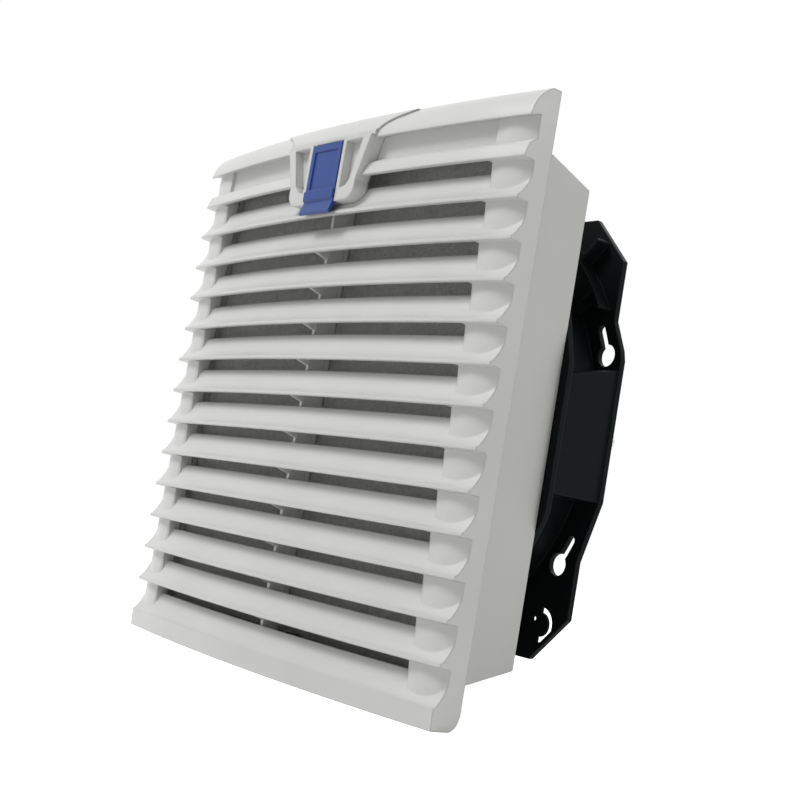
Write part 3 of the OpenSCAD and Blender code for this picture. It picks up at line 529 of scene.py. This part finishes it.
def gusset_row_tree():
    tree, link, given = new_tree("gusset row", (
        ("Plate", "Object"), ("Count", "Int"), ("First", "Vector"), ("Step", "Vector"),
        ("Finish", "Material")))
    gaps = put(tree, "GeometryNodeMeshLine")
    link(given["Count"], gaps.inputs["Count"])
    link(given["First"], gaps.inputs["Start Location"])
    link(given["Step"], gaps.inputs["Offset"])
    plate = put(tree, "GeometryNodeObjectInfo")
    link(given["Plate"], plate.inputs["Object"])
    row = put(tree, "GeometryNodeInstanceOnPoints")
    link(gaps.outputs["Mesh"], row.inputs["Points"])
    link(plate.outputs["Geometry"], row.inputs["Instance"])
    end_tree(tree, row.outputs["Instances"], given["Finish"])
    return tree


gusset_outline = ((-0.0219, 0.0003), (-0.0142, -0.002), (-0.0142, 0.0045), (-0.0189, 0.0045))
plate = gusset_plate(gusset_outline, 0.0016)
gussets = grown("rib_gussets", gusset_row_tree(), plate=plate, count=11,
                first=(0, 0, lip_height(3) - bar_drop), step=(0, 0, -lip_pitch),
                finish=front_plastic)
bpy.data.objects.remove(plate)
rib_front, rib_back = -0.0062, mat_low.y - 0.0004
rib_foot, rib_head = mat_low.z + 0.003, lip_height(1) - 0.0017
mat_rib = gusset_plate(((rib_front, rib_foot), (rib_back, rib_foot),
                        (rib_back, rib_head), (rib_front, rib_head)), 0.0019)
mat_rib.name = mat_rib.data.name = "mat_rib"
mat_rib.data.materials.append(front_plastic)
bpy.context.scene.collection.objects.link(mat_rib)
for web in (gussets, mat_rib):
    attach(web, "grille")


# Handle frame: a smaller moulding of the same plastic, snapped into the top bar round the tab.
# Hands pull on it, so its edges are rounded more than the louvres'.

# A faint painted highlight pales its edges.
handle_plastic = moulded("handle_plastic", front_grey, 0.36, grain=0.15, edge=1.03,
                         edge_radius=0.0018)
dress("handle_frame", handle_plastic)


# Latch tab: a royal blue lever, moulded in smooth acetal. It turns on a steel pin in the handle,
# and its hook behind holds the front shut.

tab_blue = (0.024, 0.066, 0.27)
# Its edges get a strong painted highlight, much paler than the blue.
dress("latch_tab", moulded("tab_plastic", tab_blue, 0.36, grain=0.06, edge=1.8,
                           edge_radius=0.0005, gloss=0.3))


# Fan frame and impeller: black glass-filled nylon with a dull sheen. A painted highlight makes the
# edges of the ribs and flanges a little paler. The terminal box is of the same nylon.

fan_black = (0.0068, 0.0084, 0.009)
black_nylon = moulded("fan_plastic", fan_black, 0.48, grain=0.3, edge=5.0, edge_radius=0.0008,
                      gloss=0.05)
for node in ("terminal_box", "terminal_cover"):
    dress(node, black_nylon)

flange_front, flange_thick, flange_rim = 0.0755, 0.0025, 0.0012
tongue_places = ((0.081995, -0.086003), (-0.081995, 0.083003))
tongue_edge, tongue_reach, tongue_thick = 0.007, 0.0072, 0.001
slot_widening = 0.0008


def fine_flange(skin):
    """Takes the rim off the back flange, and thins its tongues so that their slots show through."""
    for point in [v.co for v in skin.verts]:
        if abs(point.y - flange_front + flange_rim) < 0.00002:
            point.y = flange_front
        for x, z in tongue_places:
            out = ((point.x - x) ** 2 + (point.z - z) ** 2) ** 0.5
            if out > tongue_reach or point.y < flange_front - 0.0001:
                continue
            if abs(out - tongue_edge) < 0.00005:
                widen = 1 + slot_widening / out
                point.x, point.z = x + widen * (point.x - x), z + widen * (point.z - z)
            if abs(point.y - flange_front) < 0.00002:
                point.y = flange_front + flange_thick - tongue_thick


smooth_moulding("fan_frame", "fan_unit", black_nylon, 0.42, fine_flange)
smooth_moulding("impeller", "rotor", black_nylon, 0.6)


# Finger guard and rotor bell: steel with a thin black powder coat, which leaves a fine
# orange-peel skin.

def powder_coat(name, colour, roughness):
    finish, tree, shader, place = new_finish(name)
    peel = noise(tree, place, 700, 2)
    tinted(tree, shader, noise(tree, place, 40, 3), shaded(colour, 0.85), colour)
    dulled(tree, shader, peel, roughness - 0.06, roughness + 0.06)
    bumped(tree, shader, peel, 0.25, 0.0002)
    return finish


dress("finger_guard", powder_coat("guard_wire", (0.022, 0.023, 0.025), 0.36))
dress("rotor_bell", powder_coat("bell_steel", (0.03, 0.031, 0.033), 0.4))


# Motor: a die-cast base with its bearing post, a laminated stator with copper hanks, two
# bearings, and the cage, shaft and clip that turn inside the bell.

def cast_alloy(name, colour):
    finish, tree, shader, place = new_finish(name)
    pits = noise(tree, place, 420, 5)
    tinted(tree, shader, pits, shaded(colour, 0.82), colour)
    dulled(tree, shader, pits, 0.38, 0.58)
    bumped(tree, shader, pits, 0.3, 0.0003)
    shader.inputs["Metallic"].default_value = 1
    return finish


alloy = cast_alloy("motor_alloy", (0.56, 0.57, 0.58))
dress("motor_base", alloy)
dress("rotor_cage", alloy)
dress("stator_core", plated_steel("core_steel", (0.2, 0.21, 0.22), 0.5, (1, 40, 1)))
dress("stator_windings", plated_steel("copper", (0.66, 0.3, 0.14), 0.36, (1, 25, 1)))
dress("motor_bearings", plated_steel("ground_steel", (0.66, 0.67, 0.69), 0.2))
dress("rotor_shaft", plated_steel("shaft_steel", (0.66, 0.67, 0.69), 0.22, (1, 30, 1)))
dress("shaft_clip", plated_steel("clip_steel", (0.14, 0.14, 0.15), 0.4))


# Terminals and lead: three brass screws in the small nylon box on the fan frame, fed by a lead
# from the motor in a black rubber sheath.

dress("terminal_screws", plated_steel("terminal_brass", (0.72, 0.58, 0.28), 0.3))


def rubber_sheath(name, colour):
    finish, tree, shader, place = new_finish(name)
    dull = noise(tree, place, 600, 3)
    tinted(tree, shader, dull, shaded(colour, 0.8), colour)
    dulled(tree, shader, dull, 0.55, 0.75)
    return finish


dress("motor_lead", rubber_sheath("lead_sheath", (0.02, 0.02, 0.021)))


# Studio: a white floor and a white surround, both brighter to the camera and to mirrors than
# they light the part, and three large soft lamps.

def seen_directly(tree):
    path = put(tree, "ShaderNodeLightPath")
    seen = path.outputs["Is Camera Ray"]
    for kind in ("Is Glossy Ray", "Is Transmission Ray"):
        either = put(tree, "ShaderNodeMath", {"operation": "MAXIMUM"})
        tree.links.new(seen, either.inputs[0])
        tree.links.new(path.outputs[kind], either.inputs[1])
        seen = either.outputs[0]
    return seen


scene = bpy.context.scene
scene.view_settings.view_transform = "Standard"
surround = bpy.data.worlds.new("surround")
scene.world = surround
surround.use_nodes = True
sky = surround.node_tree
sky.nodes.clear()
dim = put(sky, "ShaderNodeBackground", Color=(1, 1, 1, 1), Strength=0.36)
white = put(sky, "ShaderNodeBackground", Color=(1, 1, 1, 1), Strength=1.0)
choice = put(sky, "ShaderNodeMixShader")
sky.links.new(seen_directly(sky), choice.inputs["Fac"])
sky.links.new(dim.outputs[0], choice.inputs[1])
sky.links.new(white.outputs[0], choice.inputs[2])
sky.links.new(choice.outputs[0], put(sky, "ShaderNodeOutputWorld").inputs["Surface"])

floor_z = cad_box[0][2]
reach = 6.0
floor_mesh = bpy.data.meshes.new("floor")
floor_corners = [(-reach, -reach), (reach, -reach), (reach, reach), (-reach, reach)]
floor_mesh.from_pydata([(x, y, floor_z) for x, y in floor_corners], [], [(0, 1, 2, 3)])
floor = bpy.data.objects.new("floor", floor_mesh)
scene.collection.objects.link(floor)
floor_white = bpy.data.materials.new("floor_white")
floor_white.use_nodes = True
paper = floor_white.node_tree
paper.nodes.clear()
matt = put(paper, "ShaderNodeBsdfDiffuse", Color=(0.8, 0.8, 0.8, 1))
glow = put(paper, "ShaderNodeEmission", Color=(1, 1, 1, 1))
lit = put(paper, "ShaderNodeMath", {"operation": "MULTIPLY"})
paper.links.new(seen_directly(paper), lit.inputs[0])
lit.inputs[1].default_value = 0.75
paper.links.new(lit.outputs[0], glow.inputs["Strength"])
both = put(paper, "ShaderNodeAddShader")
paper.links.new(matt.outputs[0], both.inputs[0])
paper.links.new(glow.outputs[0], both.inputs[1])
paper.links.new(both.outputs[0], put(paper, "ShaderNodeOutputMaterial").inputs["Surface"])
floor_mesh.materials.append(floor_white)


def lamp(name, place, aim, size, watts):
    light = bpy.data.lights.new(name, "AREA")
    light.shape = "DISK"
    light.size = size
    light.energy = watts
    holder = bpy.data.objects.new(name, light)
    holder.location = place
    holder.rotation_euler = (Vector(aim) - Vector(place)).to_track_quat("-Z", "Y").to_euler()
    scene.collection.objects.link(holder)


lamp("key_lamp", (-0.5, -1.2, 1.5), (0, 0, 0), 0.8, 23)
lamp("side_lamp", (1.5, 0.9, 1.0), (0, 0.03, 0), 0.9, 7)
lamp("back_lamp", (-0.4, 1.6, 1.2), (0, 0.05, 0), 1.0, 8)

eye = bpy.data.cameras.new("photo_camera")
eye.sensor_width = 36.0
eye.lens = 61.956
eye.clip_start = 0.01
camera = bpy.data.objects.new("photo_camera", eye)
right = Vector((0.5984, 0.7835, 0.1675)).normalized()
ahead = Vector((-0.8007, 0.5926, 0.0885))
ahead = (ahead - right * ahead.dot(right)).normalized()
up = right.cross(ahead)
view = Matrix((right, up, -ahead)).transposed().to_4x4()
view.translation = (0.5318, -0.3528, -0.0526)
camera.matrix_world = view
scene.collection.objects.link(camera)
scene.camera = camera
